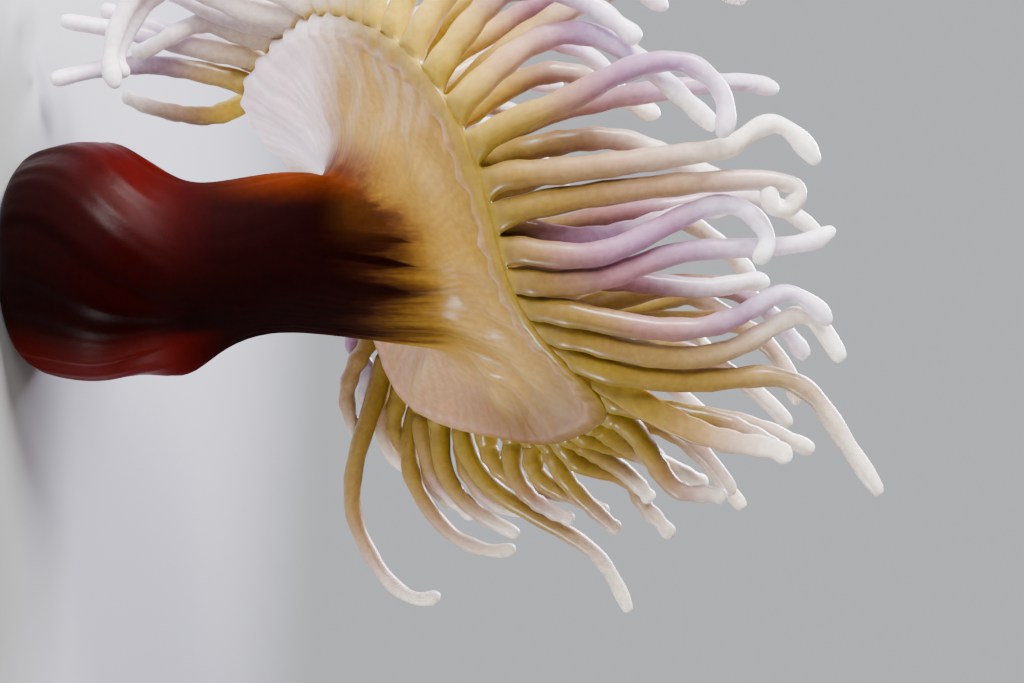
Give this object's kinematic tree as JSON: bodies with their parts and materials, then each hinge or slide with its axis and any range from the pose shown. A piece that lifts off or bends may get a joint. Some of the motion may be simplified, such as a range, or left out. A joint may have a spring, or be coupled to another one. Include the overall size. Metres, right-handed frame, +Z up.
{
  "type": "sea anemone",
  "caption": "Giant Caribbean sea anemone: a red foot and column under a leaning, wavy-rimmed disc of long, blunt-tipped tentacles.",
  "frame": {"origin": "middle of the sole of the foot, on the floor", "axes": "+Z up from the foot, +X towards the side the disc hangs down on, +Y towards the far side of the disc"},
  "size_m": [0.2409, 0.1786, 0.217],
  "materials": {
    "foot_skin": "wet red skin",
    "column_skin": "wet maroon skin",
    "oral_skin": "wet tan skin",
    "tentacle_skin": "wet olive and mauve skin"
  },
  "bodies": {
    "root": {"collar": "column_skin", "column_lower": "column_skin", "column_middle": "column_skin", "column_upper": "column_skin", "foot": "foot_skin", "foot_shoulder": "foot_skin", "inner_tier_01_with_tentacles": "tentacle_skin", "inner_tier_02_with_tentacles": "tentacle_skin", "inner_tier_03_with_tentacles": "tentacle_skin", "inner_tier_04_with_tentacles": "tentacle_skin", "inner_tier_05_with_tentacles": "tentacle_skin", "inner_tier_06_with_tentacles": "tentacle_skin", "inner_tier_07_with_tentacles": "tentacle_skin", "inner_tier_08_with_tentacles": "tentacle_skin", "inner_tier_09_with_tentacles": "tentacle_skin", "inner_tier_10_with_tentacles": "tentacle_skin", "inner_tier_11_with_tentacles": "tentacle_skin", "inner_tier_12_with_tentacles": "tentacle_skin", "margin_01_with_tentacles": "tentacle_skin", "margin_02_with_tentacles": "tentacle_skin", "margin_03_with_tentacles": "tentacle_skin", "margin_04_with_tentacles": "tentacle_skin", "margin_05_with_tentacles": "tentacle_skin", "margin_06_with_tentacles": "tentacle_skin", "margin_07_with_tentacles": "tentacle_skin", "margin_08_with_tentacles": "tentacle_skin", "margin_09_with_tentacles": "tentacle_skin", "margin_10_with_tentacles": "tentacle_skin", "margin_11_with_tentacles": "tentacle_skin", "margin_12_with_tentacles": "tentacle_skin", "margin_13_with_tentacles": "tentacle_skin", "margin_14_with_tentacles": "tentacle_skin", "margin_15_with_tentacles": "tentacle_skin", "margin_16_with_tentacles": "tentacle_skin", "margin_17_with_tentacles": "tentacle_skin", "margin_18_with_tentacles": "tentacle_skin", "margin_19_with_tentacles": "tentacle_skin", "margin_20_with_tentacles": "tentacle_skin", "margin_21_with_tentacles": "tentacle_skin", "margin_22_with_tentacles": "tentacle_skin", "margin_23_with_tentacles": "tentacle_skin", "margin_24_with_tentacles": "tentacle_skin", "middle_tier_01_with_tentacles": "tentacle_skin", "middle_tier_02_with_tentacles": "tentacle_skin", "middle_tier_03_with_tentacles": "tentacle_skin", "middle_tier_04_with_tentacles": "tentacle_skin", "middle_tier_05_with_tentacles": "tentacle_skin", "middle_tier_06_with_tentacles": "tentacle_skin", "middle_tier_07_with_tentacles": "tentacle_skin", "middle_tier_08_with_tentacles": "tentacle_skin", "middle_tier_09_with_tentacles": "tentacle_skin", "middle_tier_10_with_tentacles": "tentacle_skin", "middle_tier_11_with_tentacles": "tentacle_skin", "middle_tier_12_with_tentacles": "tentacle_skin", "mouth": "oral_skin", "oral_disc": "oral_skin", "pedal_disc": "foot_skin"}
  },
  "joints": []
}
